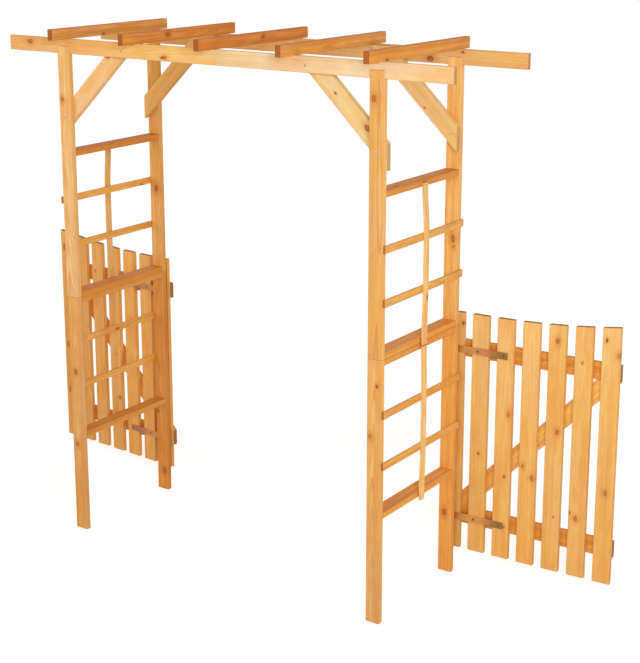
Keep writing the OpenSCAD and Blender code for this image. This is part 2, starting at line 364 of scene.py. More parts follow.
def pine(name, pale, late, contrast=0.6, end=(0.52, 0.24, 0.08), streaks=0.35,
         arrises=(0.60, 0.28, 0.08), tops=(1.0, 1.0, 1.0)):
    """Stained pine, solid through the board: its year rings, fibres, knots and sawn ends.

    pale and late are the colours of spring and summer wood, and contrast and streaks tell how
    much of the late one shows. end and arrises are the stain on sawn ends and edges. tops is
    painted shade: how much darker faces that look upward are made.
    """
    finish, tree, surface = new_finish(name)
    surface.inputs["Specular IOR Level"].default_value = 0.2
    grain = attribute(tree, "grain")
    along, across, through = grain.parts()
    _, half_across, half_through = attribute(tree, "half").parts()
    _, _, seed = attribute(tree, "log").parts()
    apart = seed.node("CombineXYZ", {}, {0: seed, 1: seed * 1.7, 2: seed * 2.3})

    def noise(scale, detail=2.0, output="Fac"):
        place = grain.vector("MULTIPLY", scale).vector("ADD", apart)
        return place.node("TexNoise", {}, {"Vector": place, "Scale": 1.0, "Detail": detail},
                          output)

    bent, nearest, dark = knotted(tree, along, across, noise)
    knot = nearest.rise(1.25, 0.85)
    bark = nearest.rise(0.45, 0.85) * nearest.rise(1.45, 1.0)  # the thin dark ring round it
    halo = nearest.rise(4.2, 0.9)  # and the resin beyond
    late_wood = late_rings(tree, along, bent, through, noise)
    fibre = noise((22, 900, 900), 2.0)
    streak = noise((1.3, 55, 55), 3.0).rise(0.38, 0.68)
    dark_streak = noise((2.1, 120, 120), 2.0).rise(0.58, 0.74)
    blotch = noise((3.2, 9, 9), 3.0, "Color").parts()
    cloud = noise((14, 34, 34), 3.0, "Color").parts()
    sawn = attribute(tree, "sawn", "Fac")

    # The stain: golden where the wood drinks little of it, orange along soft streaks.
    tint = attribute(tree, "tint")
    colour, late_colour = tint.vector("MULTIPLY", pale), tint.vector("MULTIPLY", late)
    for stain, shade in (
        (blotch[0].rise(0.40, 0.62) * 0.8, (1.0, 0.97, 0.66)),  # wide golden stretches
        (blotch[1].rise(0.46, 0.66) * 0.75, (0.95, 0.78, 0.62)),  # wide brown stretches
        (cloud[0].rise(0.46, 0.64) * 0.6, (0.98, 0.86, 0.68)),  # small orange clouds
        (cloud[1].rise(0.50, 0.70) * 0.6, (1.05, 1.12, 1.2)),  # small pale clouds
    ):
        colour = colour.mixed(stain, shade, "MULTIPLY")
    for share, shade in (
        (late_wood * contrast, late_colour),
        (streak * streaks, late_colour),
        (dark_streak * streaks * 0.6, late_colour.vector("MULTIPLY", (0.8, 0.6, 0.5))),
        (abs(fibre - 0.5) * 0.25, late_colour),
        (halo * 0.65, late_colour.vector("MULTIPLY", (1.0, 0.84, 0.62))),
    ):
        colour = colour.mixed(share, shade)
    rings_in_knot = (nearest * 3.0).maths("FRACT").rise(0.2, 0.9)
    knot_colour = rings_in_knot.between((0.66, 0.22, 0.035), (0.47, 0.11, 0.012))
    knot_colour = knot_colour.mixed(dark * 0.85, (0.20, 0.042, 0.008))
    colour = colour.mixed(knot * 0.8, knot_colour)
    colour = colour.mixed(bark * (0.25 + 0.55 * dark), (0.24, 0.055, 0.010))

    # Stain gathers on the arrises, and sawn ends drink more of it. Upward faces get painted
    # shade.
    beside = half_across - abs(across)
    inside = beside.maths("MAXIMUM", half_through - abs(through))
    worn = inside.rise(0.0034, 0.0008) * (0.35 + 0.65 * noise((30, 160, 160), 2.0))
    colour = colour.mixed(worn * 0.42, arrises)
    colour = colour.mixed(sawn * 0.9, late_wood.between(end, np.array(end) * 0.65))
    if min(tops) < 1:
        # painted shade: faces that look upward are darkened by tops
        painted_top_shade = Wire(tree).node("NewGeometry", output="Normal").parts()[2].rise(0.6, 0.95)
        colour = colour.mixed(painted_top_shade, tops, "MULTIPLY")
    colour.feeds(surface, "Base Color")

    dull = 0.5 + 0.14 * fibre + 0.12 * sawn - 0.08 * late_wood
    dull.feeds(surface, "Roughness")
    relief = late_wood * 0.5 + fibre * 0.5 - bark * 1.2
    bump = relief.node("Bump", {}, {"Height": relief, "Distance": 0.0003, "Strength": 0.6})
    bump.feeds(surface, "Normal")
    return finish


def extents(node, axes, origin=(0, 0, 0)):
    """The lowest and highest corner of each solid of a CAD node, in a board's own axes."""
    shape = bmesh.new()
    shape.from_mesh(frame["nodes"][node].data)
    bmesh.ops.remove_doubles(shape, verts=shape.verts, dist=weld)
    left, found = set(shape.verts), []
    while left:
        group, edge = set(), {left.pop()}
        while edge:
            group |= edge
            edge = {e.other_vert(v) for v in edge for e in v.link_edges} - group
        left -= group
        points = (np.array([v.co for v in group]) - np.array(origin)) @ np.array(axes, float).T
        found.append((points.min(0), points.max(0)))
    shape.free()
    return sorted(found, key=lambda solid: tuple(solid[0].round(4)))


upright = (0, 0, 1), (1, 0, 0), (0, 1, 0)  # axes of a board that stands and faces forward
post_pine = pine("post_pine", (0.86, 0.50, 0.205), (0.62, 0.26, 0.07))
# Right-face factors here are painted light or shade on each post's right face.
post_looks = {
    "front_left_post_lower": dict(
        tint=((0.90, 0.82, 0.68), (1.0, 0.96, 0.90)), painted_side_shading=(0.97, 1.05, 1.30),
        knots=[(0.186, 0.002, 0.0068, 0.5), (-0.131, -0.006, 0.0065, 0.3)], pith=(0.004, -0.034)),
    "front_left_post_upper": dict(
        tint=(1.03, 1.10, 1.14), painted_side_shading=(0.93, 0.89, 0.80),
        knots=[(0.298, -0.0116, 0.006, 0.2)], pith=(-0.01, 0.05)),
    "front_right_post_lower": dict(
        tint=((0.80, 0.76, 0.64), (0.94, 0.96, 0.92)), painted_side_shading=(1.18, 1.26, 1.24),
        knots=[(0.216, -0.0148, 0.006, 0.0)], pith=(0.0, 0.03)),
    "front_right_post_upper": dict(
        tint=(0.93, 0.90, 0.76), painted_side_shading=(1.14, 1.26, 1.55),
        knots=[(0.412, -0.0108, 0.0075, 0.3)], pith=(0.01, -0.045)),
    "rear_left_post_lower": dict(tint=(0.80, 0.58, 0.31), knots=[(-0.417, 0.010, 0.0075, 0.5)]),
    "rear_left_post_upper": dict(tint=(0.92, 0.84, 0.60), knots=[(-0.1415, 0.0047, 0.008, 0.4)]),
    "rear_right_post_lower": dict(
        tint=((0.90, 0.70, 0.38), (0.96, 0.82, 0.50)), painted_side_shading=(1.01, 1.06, 1.30),
        knots=[(-0.257, -0.0049, 0.0075, 0.7)], pith=(0.003, -0.03)),
    "rear_right_post_upper": dict(
        tint=((0.94, 0.86, 0.62), (1.0, 1.0, 0.92)), painted_side_shading=(0.98, 1.03, 1.30),
        knots=[(-0.169, 0.0084, 0.0085, 0.4), (-0.2, 0.012, 0.004, 0.0)], pith=(-0.006, 0.04)),
}
for place, looks in post_looks.items():
    row, side, _, half = place.split("_")
    (low, high), = extents(place, upright)
    cuts = ()
    if half == "upper":
        (beam_low, _), = extents(f"{row}_beam_{side}", upright)
        cuts = [(beam_low[0], high[0], low[1:], (high[1], beam_low[2]))]
    board = Board(place, upright, low, high, cuts=cuts, **looks)
    timber(place + "_board", [board], post_pine, "arch", "post_pine", place)

# --- Side rails ---
# Four short boards a side, laid flat between a front and a rear post and nailed through the
# posts into their ends. With the laths they make two ladder panels, one above the other.

rail_places = "bottom", "lower_middle", "upper_middle", "top"
lengthwise_flat = (0, 1, 0), (1, 0, 0), (0, 0, 1)
# The rails' tops value paints shade on their upper faces.
rail_pine = pine("rail_pine", (0.86, 0.43, 0.105), (0.54, 0.19, 0.035), streaks=0.5,
                 tops=(0.95, 0.83, 0.70))
rail_tint = {
    "left_bottom_rail": (0.91, 0.82, 0.66), "left_lower_middle_rail": (0.91, 0.82, 0.66),
    "left_upper_middle_rail": (0.90, 0.78, 0.62), "left_top_rail": (0.80, 0.62, 0.42),
    "right_top_rail": (0.90, 0.80, 0.62),
}
for side in ("left", "right"):
    for place in rail_places:
        name = f"{side}_{place}_rail"
        (low, high), = extents(name, lengthwise_flat)
        board = Board(name, lengthwise_flat, low, high, tint=rail_tint.get(name, (1, 1, 1)))
        timber(name + "_board", [board], rail_pine, "arch", "rafter_pine", name)

# --- Beams ---
# A front and a rear beam, each of two pieces halved over each other in the middle. They lie
# in the posts' cut heads and run on past the posts.

crosswise_edge = (1, 0, 0), (0, 0, 1), (0, 1, 0)
beam_pine = pine("beam_pine", (0.90, 0.57, 0.26), (0.74, 0.36, 0.11), contrast=0.45,
                 end=(0.55, 0.26, 0.09))
beam_looks = {
    "front_beam_left": dict(tint=((0.96, 0.82, 0.58), (1.02, 1.05, 0.95)), pith=(0.01, 0.05),
                            knots=[(-0.415, 0.009, 0.008, 0.3), (0.286, -0.014, 0.006, 0.1)]),
    "front_beam_right": dict(tint=(0.94, 1.10, 1.48), pith=(0.03, -0.05)),
    "rear_beam_left": dict(tint=(0.94, 0.80, 0.60)),
    "rear_beam_right": dict(tint=(0.86, 0.80, 0.68), knots=[(0.1265, -0.0133, 0.0085, 0.7)]),
}
for name, looks in beam_looks.items():
    row, _, side = name.split("_")
    (low, high), = extents(name, crosswise_edge)
    (lap_start, _), = extents(f"{row}_beam_right", crosswise_edge)
    (_, lap_end), = extents(f"{row}_beam_left", crosswise_edge)
    middle = (low[1] + high[1]) / 2
    if side == "left":
        lap = (lap_start[0], high[0], low[1:], (middle, high[2]))
    else:
        lap = (low[0], lap_end[0], (middle, low[2]), high[1:])
    board = Board(name, crosswise_edge, low, high, cuts=[lap], **looks)
    timber(name + "_board", [board], beam_pine, "arch", "beam_pine", name)

# --- Rafters ---
# Five boards on edge across the two beams, each notched a little over both. Their long run
# and square sawn ends take the deepest stain.

lengthwise_edge = (0, 1, 0), (0, 0, 1), (1, 0, 0)
notch_play = 0.001  # between a notch and each face of the beam in it
# The rafters' tops value paints shade on their upper faces.
rafter_pine = pine("rafter_pine", (0.79, 0.33, 0.075), (0.45, 0.13, 0.02),
                   end=(0.39, 0.09, 0.016), contrast=0.38, streaks=0.45,
                   arrises=(0.34, 0.11, 0.02), tops=(0.74, 0.58, 0.42))
rafter_looks = {
    1: dict(tint=(0.97, 1.06, 1.19)),
    2: dict(tint=(0.90, 0.85, 0.73), knots=[(-0.08, 0.003, 0.006, 0.6)]),
    3: dict(tint=(0.90, 0.79, 0.64)),
    4: dict(tint=(0.97, 1.04, 1.07)),
    5: dict(tint=(1.02, 1.02, 0.90), pith=(0.01, 0.03)),
}
for number, looks in rafter_looks.items():
    name = f"rafter_{number}"
    (low, high), = extents(name, lengthwise_edge)
    notches = []
    for row in ("front", "rear"):
        (beam_low, beam_high), = extents(f"{row}_beam_left", lengthwise_edge)
        notches.append((beam_low[0] - notch_play, beam_high[0] + notch_play,
                        (beam_high[1], low[2]), high[1:]))
    board = Board(name, lengthwise_edge, low, high, cuts=notches, **looks)
    timber(name + "_board", [board], rafter_pine, "arch", "rafter_pine", name)

# --- Corner braces ---
# A board on the slope in each corner, screwed to the post and the beam. Its foot is cut plumb
# at the post's outer face, its head level under the rafters.

brace_width = 0.069
outward = {"left": -1, "right": 1}  # which way along x leads out of the passage
brace_pine = pine("brace_pine", (0.89, 0.60, 0.30), (0.72, 0.37, 0.12), contrast=0.45,
                  end=(0.60, 0.32, 0.12))
brace_looks = {
    "front_left": dict(tint=(1, 1, 1), knots=[(0.13, 0.02, 0.004, 1.0)]),
    "front_right": dict(tint=(0.88, 0.96, 1.06), knots=[(-0.11, 0.012, 0.0075, 0.5)]),
    "rear_left": dict(tint=(0.92, 0.82, 0.60)),
    "rear_right": dict(tint=(0.98, 0.95, 0.86)),
}
for place, looks in brace_looks.items():
    name, out = place + "_brace", outward[place.split("_")[1]]
    low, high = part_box(name)
    outer = high.x if out > 0 else low.x
    tall = high.z - low.z
    slope = math.atan2(tall, high.x - low.x)
    rise, run = math.sin(slope), math.cos(slope)
    sloping = (-out * run, 0, rise), (out * rise, 0, run), (0, 1, 0)
    board = Board(
        name, sloping, (0, 0, low.y), (tall / rise, brace_width, high.y),
        start=lambda across, through: across * rise / run,
        stop=lambda across, through: (tall - across * run) / rise,
        origin=(outer, 0, low.z), **looks)
    timber(name + "_board", [board], brace_pine, "arch", "brace_pine", name)

# --- Trellis laths ---
# Thin sawn laths nailed to the outer faces: two level ones across the posts in each panel, and
# an upright one a panel, nailed to the rails and sprung out over the level ones.

lath_arris = 0.0015
bend_steps = 8  # stations along each bend
lath_pine = pine("lath_pine", (0.84, 0.47, 0.15), (0.60, 0.25, 0.06), contrast=0.5,
                 end=(0.40, 0.12, 0.03), arrises=(0.60, 0.26, 0.06))
cross_tint = (1.0, 0.94, 0.80)
upright_tint = {"left": ((0.92, 0.88, 0.90), (0.92, 0.94, 1.12)),
                "right": ((1.12, 1.34, 1.9), (1.10, 1.32, 1.9))}
standing = (0, 0, 1), (0, 1, 0), (1, 0, 0)  # axes of a lath that stands and faces outward
lath_fit = {}
for side, out in outward.items():
    name = f"{side}_cross_laths"
    laths = [
        Board(f"{side} cross {number}", lengthwise_edge, low, high, lath_arris, tint=cross_tint)
        for number, (low, high) in enumerate(extents(name, lengthwise_edge))
    ]
    timber(name + "_strips", laths, lath_pine, "arch", "lath_pine", name)

    crossed = extents(name, standing)
    rails = [extents(f"{side}_{place}_rail", standing)[0] for place in rail_places]
    edge = rails[0][out > 0][2]
    thick = crossed[0][1][2] - crossed[0][0][2]
    name = f"{side}_upright_laths"
    uprights = extents(name, standing)
    stand = min(abs(uprights[0][0][2] - edge), abs(uprights[0][1][2] - edge))
    lath_fit[side] = thick, stand
    strips = []
    for number, (low, high) in enumerate(uprights):
        below, above = crossed[2 * number], crossed[2 * number + 1]
        springs = rails[2 * number][1][0], below[0][0]
        returns = above[1][0], rails[2 * number + 1][0][0]
        ends = (stand, stand) if number == 0 else (stand, 0)
        flat_low, flat_high = low.copy(), high.copy()
        flat_low[2], flat_high[2] = sorted((edge, edge + out * thick))

        def bend(along, springs=springs, returns=returns, ends=ends):
            share = np.interp(along, (*springs, *returns), (0, 1, 1, 0))
            foot = ends[0] if along < springs[1] else ends[1]
            return out * (foot + (thick - foot) * (1 - math.cos(math.pi * share)) / 2)

        strips.append(Board(
            f"{side} upright {number}", standing, flat_low, flat_high, lath_arris, bend=bend,
            tint=upright_tint[side][number],
            stations=[*np.linspace(*springs, bend_steps + 1),
                      *np.linspace(*returns, bend_steps + 1)]))
    timber(name + "_strips", strips, lath_pine, "arch", "lath_pine", name)

# --- Gates ---
# Two gates of seven pickets nailed over two rails and a diagonal that rises from the lower
# hinge corner. The pickets' tops sweep up towards the free side. Folded back, the gates stand
# just short of flat.

gate_arris = 0.0015
on_edge = 0.0001  # how far from a board's edge a corner may lie that belongs to it
up = np.array((0, 0, 1))
gate_pine = pine("gate_pine", (0.92, 0.46, 0.11), (0.60, 0.20, 0.03), contrast=0.55,
                 streaks=0.5, end=(0.34, 0.13, 0.05), arrises=(0.60, 0.25, 0.05))
picket_pine = pine("picket_pine", (0.91, 0.53, 0.18), (0.72, 0.33, 0.09), contrast=0.45,
                   end=(0.36, 0.14, 0.04), arrises=(0.56, 0.22, 0.05))
picket_knots = {  # (height above the foot, across, radius, how dark)
    "right": {
        0: [(0.921, 0.030, 0.004, 1.0)],
        1: [(0.410, 0.0033, 0.0035, 1.0)],
        2: [(0.338, 0.010, 0.0035, 0.9), (0.130, 0.0141, 0.003, 0.4), (0.590, 0.021, 0.006, 0.0)],
        3: [(0.397, -0.0176, 0.005, 0.0), (0.356, 0.021, 0.007, 0.1)],
        4: [(0.9115, 0.0012, 0.0065, 0.3), (0.560, 0.0119, 0.0065, 0.3),
            (0.220, 0.0107, 0.002, 1.0)],
        5: [(0.8446, -0.0038, 0.003, 0.5), (0.234, -0.0053, 0.006, 0.3),
            (0.252, -0.029, 0.003, 0.8)],
        6: [(0.9449, -0.0174, 0.004, 1.0), (0.359, 0.0023, 0.0065, 0.2),
            (0.894, 0.030, 0.006, 0.0)],
    },
    "left": {
        3: [(0.259, -0.0195, 0.0045, 0.9)],
        5: [(0.505, 0.0076, 0.003, 0.9)],
    },
}
# The gates' tints are partly painted shade: the left gate and the low ends are darker.
gate_tint = {"right": ((0.87, 0.80, 0.68), (0.94, 0.98, 1.03)),
             "left": ((0.86, 0.74, 0.58), (0.94, 0.84, 0.70))}
diagonal_tint = {"right": ((0.93, 0.94, 0.85), (1.00, 1.38, 2.00)), "left": (0.94, 0.84, 0.70)}
gates = {}  # for each side: its pin's place, the way along the gate, and the way to its rails
for (side, out), joint in zip(outward.items(), frame["joints"]):
    pin = np.array((*joint["pos_m"][:2], 0))
    tilt = math.radians(-joint["range_deg"][0])
    reach = np.array((out * math.cos(tilt), math.sin(tilt), 0))
    away = np.array((-out * math.sin(tilt), math.cos(tilt), 0))
    gates[side] = pin, reach, away
    body, node = f"{side}_gate", f"{side}_gate_"

    # Each picket's top is sawn on the slant, from the height of one edge to that of the other.
    skin = np.array([v.co for v in frame["nodes"][node + "pickets"].data.vertices]) - pin
    skin = np.column_stack([skin @ up, skin @ reach])
    pickets = []
    for number, (low, high) in enumerate(extents(node + "pickets", (up, reach, away), pin)):
        tops = [skin[abs(skin[:, 1] - edge) < on_edge][:, 0].max() for edge in (low[1], high[1])]
        fall = (tops[1] - tops[0]) / (high[1] - low[1])
        middle = (low[0] + max(tops)) / 2
        pickets.append(Board(
            f"{side} picket {number}", (up, reach, away), low, high, gate_arris, origin=pin,
            stop=lambda across, _, top=tops[0], fall=fall, edge=low[1]: (
                top + fall * (across - edge)),
            tint=gate_tint[side],
            knots=[(low[0] + height - middle, *rest)
                   for height, *rest in picket_knots[side].get(number, [])]))
    timber(node + "pickets_boards", pickets, picket_pine, body, "picket_pine", node + "pickets")

    for place in ("lower_rail", "upper_rail"):
        (low, high), = extents(node + place, (reach, up, away), pin)
        board = Board(node + place, (reach, up, away), low, high, gate_arris, origin=pin,
                      tint=gate_tint[side][0])
        timber(node + place + "_board", [board], gate_pine, body, "gate_frame_pine", node + place)
    rail_width = high[1] - low[1]

    # The diagonal is as wide as the rails. Its plumb width at the foot follows from the slope
    # that makes it run from corner to corner of its box.
    (low, high), = extents(node + "diagonal", (reach, up, away), pin)
    wide, tall, _ = high - low
    foot = rail_width * (
        tall * math.sqrt(tall ** 2 + wide ** 2 - rail_width ** 2) - rail_width * wide
    ) / (tall ** 2 - rail_width ** 2)
    slope = math.atan2(tall, wide - foot)
    rise, run = math.sin(slope), math.cos(slope)
    rising, square = reach * run + up * rise, up * run - reach * rise
    board = Board(
        node + "diagonal", (rising, square, away), (0, -rail_width, low[2]), (1, 0, high[2]),
        gate_arris, origin=pin + reach * low[0] + up * low[1], tint=diagonal_tint[side],
        start=lambda across, _: -across * run / rise,
        stop=lambda across, _: (tall - across * run) / rise)
    timber(node + "diagonal_board", [board], gate_pine, body, "gate_frame_pine",
           node + "diagonal")

# --- Strap hinges ---
# Two on each gate, pressed from steel sheet and plated with yellow zinc. The strap is rolled
# round the pin at one end and screwed over the pickets. The plate behind the post is rolled
# round the same pin above and below the strap's eye.

sheet = 0.0025
sheet_round = 0.0004  # radius of the sheet's worn edges
strap_width = 0.028
strap_corner = 0.004  # radius of the strap's free corners
corner_steps = 6
end_ring = 0.0001  # between a square end and the ring of corners before it
roll_steps = 26
roll_end = math.radians(20)  # where the rolled tip stops short of the sheet
eye_play = 0.0005  # above and below the strap's eye
pin_play = 0.00008  # round the pin
pin_flats = 32
pin_end = (0, 0.55), (0.0004, 0.85), (0.001, 1)  # (from the pin's end, share of its radius)
window_reach = 2.4  # width of the window for the strap's eye, as a share of the eye's radius


def zinc(name, plate, blush, olive, roughness=0.42, film_ends=None):
    """Plated or bare steel: a film of three tones, specked with dirt and scuffed.

    film_ends tells how the film turns along a strap: the pin's x, then a stretch and a colour
    near the pin, and a stretch and a colour near the strap's end.
    """
    finish, tree, surface = new_finish(name)
    place = Wire(tree).node("TexCoord", output="Object")
    film = place.node("TexNoise", {}, {"Vector": place, "Scale": 18.0, "Detail": 2.0}, "Color")
    pink, green, dull = film.parts()
    speck = place.node("TexNoise", {}, {"Vector": place, "Scale": 700.0, "Detail": 3.0}, "Fac")
    scuff = place.node("TexNoise", {}, {"Vector": place.vector("MULTIPLY", (40, 40, 260)),
                                        "Scale": 1.0, "Detail": 4.0}, "Fac")
    colour = pink.rise(0.42, 0.62).between(plate, blush)
    colour = colour.mixed(green.rise(0.48, 0.66) * 0.8, olive)
    colour = colour.mixed(speck.rise(0.5, 0.75) * 0.35, (0.20, 0.12, 0.06))
    if film_ends:
        pin_x, near, near_film, far, far_film = film_ends
        reach = abs(place.parts()[0]) - pin_x
        colour = colour.mixed(reach.rise(*near) * 0.75, near_film)
        colour = colour.mixed(reach.rise(*far) * 0.7, far_film)
    colour.feeds(surface, "Base Color")
    surface.inputs["Metallic"].default_value = 0.6
    worn = roughness + 0.16 * (scuff - 0.5) + 0.12 * (dull - 0.5)
    worn.feeds(surface, "Roughness")
    bump = scuff.node("Bump", {}, {"Height": scuff + speck * 0.5, "Distance": 0.0002,
                                   "Strength": 0.35})
    bump.feeds(surface, "Normal")
    return finish


def rolled(length, half, middle_radius, side, rounded=0.0):
    """The path of a strip that runs out along x at side times the radius, rolled at x = 0.

    It is a list of (centre, normal, half width) across the pin.
    """
    path = []
    for turn in np.linspace(2 * math.pi + roll_end, math.pi / 2, roll_steps):
        normal = (math.cos(turn), side * math.sin(turn))
        path.append(((middle_radius * normal[0], middle_radius * normal[1]), normal, half))
    flat = [(share * length, half) for share in (0.25, 0.5, 0.75)]
    flat.append((length - max(rounded, end_ring), half))
    if rounded:  # its last ring stays a hair inside its length
        for turn in np.linspace(0, math.pi / 2, corner_steps + 1)[1:]:
            flat.append((length - rounded + rounded * math.sin(turn) * 0.999,
                         half - rounded * (1 - math.cos(turn))))
    else:
        flat.append((length, half))
    return path + [((x, side * middle_radius), (0, side), wide) for x, wide in flat]


def swept(shape, axes, origin, path, middle):
    """Adds a strip of sheet to a shape, bent along its path round the pin."""
    rows = []
    for (x, y), (nx, ny), half in path:
        edge = min(sheet_round, half / 3)
        corners = []
        for start, (rise, out) in enumerate(((1, 1), (-1, 1), (-1, -1), (1, -1))):
            for step in (0, 0.5, 1):
                turn = math.pi / 2 * (start + step)
                corners.append((rise * (half - edge) + edge * math.cos(turn),
                                out * (sheet / 2 - edge) + edge * math.sin(turn)))
        rows.append([
            shape.verts.new(origin + axes[0] * (x + nx * out) + axes[1] * (y + ny * out)
                            + axes[2] * (middle + rise)) for rise, out in corners])
    skinned(shape, rows)


def windowed(shape, axes, middles, size):
    """The shape with a block of a size cut out of it round each of the middles."""
    stock, blocks = in_scene("blank", mesh_of("blank", shape)), []
    for middle in middles:
        block = bmesh.new()
        bmesh.ops.create_cube(block, size=1)
        for corner in block.verts:
            corner.co = middle + (np.array(corner.co) * size) @ axes
        blocks.append(in_scene("window", mesh_of("window", block)))
        trim = stock.modifiers.new("trim", "BOOLEAN")
        trim.operation, trim.solver, trim.object = "DIFFERENCE", "EXACT", blocks[-1]
    now = bpy.context.evaluated_depsgraph_get()
    cut = bmesh.new()
    cut.from_mesh(bpy.data.meshes.new_from_object(stock.evaluated_get(now)))
    for leftover in (stock, *blocks):
        bpy.data.objects.remove(leftover)
    return cut


def metalwork(name, shape, finishes, body, slot, *nodes):
    """One piece of metal from a closed shape, smooth but for its sharp edges."""
    for face in shape.faces:
        face.smooth = True
    return fitted(name, shape, finishes, 50, body, nodes)


film_looks = {  # where the film turns near the pin and near the strap's end, and its colours
    "left": ((0.120, 0.050), (0.44, 0.31, 0.04), (0.120, 0.200), (0.40, 0.15, 0.08)),
    "right": ((0.030, 0.012), (0.34, 0.10, 0.04), (0.150, 0.235), (0.22, 0.135, 0.035)),
}
yellow_zinc = {
    side: zinc(f"yellow_zinc_{side}", (0.74, 0.34, 0.085), (0.72, 0.29, 0.11),
               (0.52, 0.28, 0.07), film_ends=(abs(gates[side][0][0]), *look))
    for side, look in film_looks.items()
}
hinges = {}
for side, (pin, reach, away) in gates.items():
    straps = extents(f"{side}_gate_straps", (reach, away, up), pin)
    barrel = -straps[0][0][0]
    eye_middle = barrel - sheet / 2
    shape = bmesh.new()
    for low, high in straps:
        path = rolled(high[0], (high[2] - low[2]) / 2, eye_middle, 1, strap_corner)
        swept(shape, (reach, away, up), pin, path, (low[2] + high[2]) / 2)
    metalwork(f"{side}_gate_strap_pair", shape, [yellow_zinc[side]], f"{side}_gate",
              "hinge_zinc", f"{side}_gate_straps")

    axes = np.array(((outward[side], 0, 0), (0, 1, 0), (0, 0, 1)))
    plates = extents(f"{side}_hinge_plates", axes, pin)
    spans = [((low[2] + high[2]) / 2, (high[2] - low[2]) / 2) for low, high in plates]
    shape = bmesh.new()
    for (_, high), (middle, half) in zip(plates, spans):
        swept(shape, axes, pin, rolled(high[0], half, eye_middle, -1), middle)
    window = window_reach * barrel, window_reach * barrel, strap_width + 2 * eye_play
    shape = windowed(shape, axes, [pin + up * middle for middle, _ in spans], window)
    pin_radius = eye_middle - sheet / 2 - pin_play
    turns = np.linspace(0, 2 * math.pi, pin_flats, endpoint=False)
    for middle, half in spans:
        profile = [(middle - half + lift, share) for lift, share in pin_end]
        profile += [(middle + half - lift, share) for lift, share in reversed(pin_end)]
        skinned(shape, [
            [shape.verts.new(pin + axes[0] * pin_radius * share * math.cos(turn)
                             + axes[1] * pin_radius * share * math.sin(turn) + up * z)
             for turn in turns] for z, share in profile])
    metalwork(f"{side}_hinge_plate_pair", shape, [yellow_zinc[side]], "arch", "hinge_zinc",
              f"{side}_hinge_plates")
    hinges[side] = straps, plates

# --- Screws and nails ---
# Countersunk screws hold the braces, beams, rafters and hinges: bright ones in the arch, brown
# ones in the straps. Thin oval-headed nails hold the rails, laths and pickets. All heads stand
# a hair proud of the wood.

screw_head, screw_proud, recess_deep = 0.0052, 0.0006, 0.0005
nail_head, brad_head, nail_proud = 0.0015, 0.0010, 0.0002  # brads hold the gates' boards
recess_half, recess_reach = 0.13, 0.62  # of the cross in a screw, as shares of its head
brace_screw_rise = 0.066  # over the brace's foot
beam_screw_out, beam_screw_rise = 0.43, 0.026  # from the arch's middle, over the beam's foot
rafter_screw_rise = 0.014  # over the beam
strap_screws = 0.037, 0.134, 0.243  # along the strap from the pin
plate_screws = (0.015, 0.032), (0.028, 0.0176)  # out from the pin, up or down from the middle
rail_nail, lath_nail, picket_nail = 0.016, 0.006, 0.019  # half the distance of two nails
lath_slant, picket_slant = 0.5, 0.6  # how much one of them stands over the other
lath_nail_in = 0.011  # from the ends of a cross lath
nail_stray = 0.001  # how far the nails are off their line
forward, backward = (0, -1, 0), (0, 1, 0)
head_profile = (  # (from its middle, over the wood), as shares of its radius and its height
    (1.0, -0.4), (1.0, 0.35), (0.93, 0.75), (0.8, 0.88), (0.64, 0.93),
    (0.5, 0.96), (0.38, 0.98), (0.28, 0.99), (0.18, 1.0), (0.09, 1.0))


def head(shape, spot, normal, turn, radius, tall, recess=0.0):
    """A low dome on a surface, with a cross recess where it is a screw.

    The recess takes the second finish, a dark steel that paints the recess's shade.
    """
    normal = Vector(normal).normalized()
    first = normal.orthogonal().normalized()
    first.rotate(Quaternion(normal, turn))
    second = normal.cross(first)
    rows, sunk = [], []
    count = 32 if recess else 12
    for share, lift in head_profile:
        row, sinks = [], []
        for step in range(count):
            angle = 2 * math.pi * step / count
            x, y = math.cos(angle) * share, math.sin(angle) * share
            sinks.append(
                recess > 0 and share < recess_reach and min(abs(x), abs(y)) < recess_half)
            height = tall * lift - recess * sinks[-1]
            row.append(shape.verts.new(
                Vector(spot) + (first * x + second * y) * radius + normal * height))
        rows.append(row)
        sunk.append(sinks)
    _, crown, *sides = skinned(shape, rows)
    # the recess faces take the second finish: painted shade in the recess
    crown.material_index = recess > 0
    for number, face in enumerate(sides):
        row, step = divmod(number, count)
        face.material_index = sunk[row][step] or sunk[row + 1][step - 1]


bright_zinc = zinc("bright_zinc", (0.66, 0.63, 0.58), (0.60, 0.54, 0.46), (0.50, 0.48, 0.42), 0.4)
# Dark steel is the nails' own colour, and painted shade in the screws' cross recesses.
dark_steel_and_recess_shade = zinc("dark_steel_and_recess_shade", (0.16, 0.11, 0.08), (0.10, 0.07, 0.05), (0.22, 0.16, 0.10), 0.55)
brown_zinc = zinc("brown_zinc", (0.30, 0.15, 0.06), (0.24, 0.11, 0.05), (0.20, 0.12, 0.05), 0.5)
chance = random.Random("fasteners")
screws = {"arch": [], "left_gate": [], "right_gate": []}
nails = {"arch": [], "left_gate": [], "right_gate": []}

